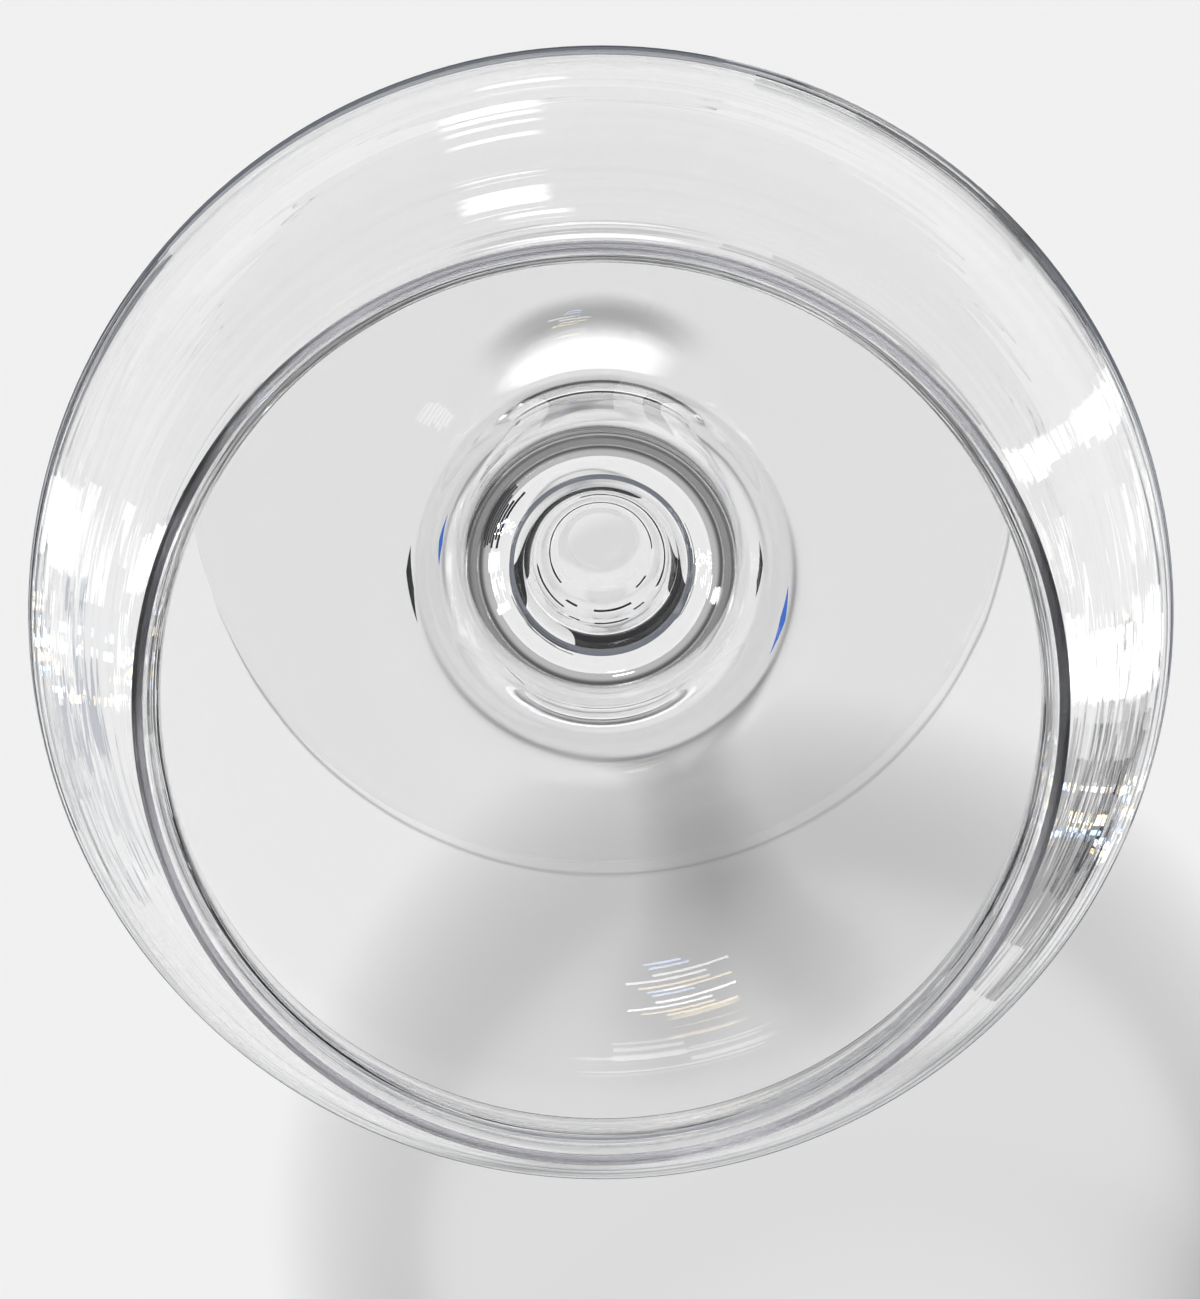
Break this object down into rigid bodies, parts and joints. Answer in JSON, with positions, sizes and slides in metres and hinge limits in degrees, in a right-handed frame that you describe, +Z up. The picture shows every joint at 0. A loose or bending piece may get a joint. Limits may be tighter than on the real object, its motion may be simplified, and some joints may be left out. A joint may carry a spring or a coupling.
{
  "type": "stemmed tasting glass",
  "caption": "Clear stemmed beer tasting glass: a wide, low belly drawn in to a narrow neck with a thin flared lip, on a slim stem and a round foot.",
  "frame": {"origin": "centre of the foot on the plane that the glass stands on", "axes": "+Z up along the axis of revolution, from the foot to the rim; X and Y are free, because the glass is round"},
  "size_m": [0.092, 0.092, 0.13],
  "materials": {
    "bowl_glass": "clear blown glass, fire-bright inside and out, with a ground and polished lip",
    "stem_glass": "clear drawn glass, smooth",
    "foot_glass": "clear cast glass, smooth, with fine scuffs on the resting ring"
  },
  "bodies": {
    "root": {"bowl": "bowl_glass", "stem": "stem_glass", "foot": "foot_glass"}
  },
  "joints": []
}
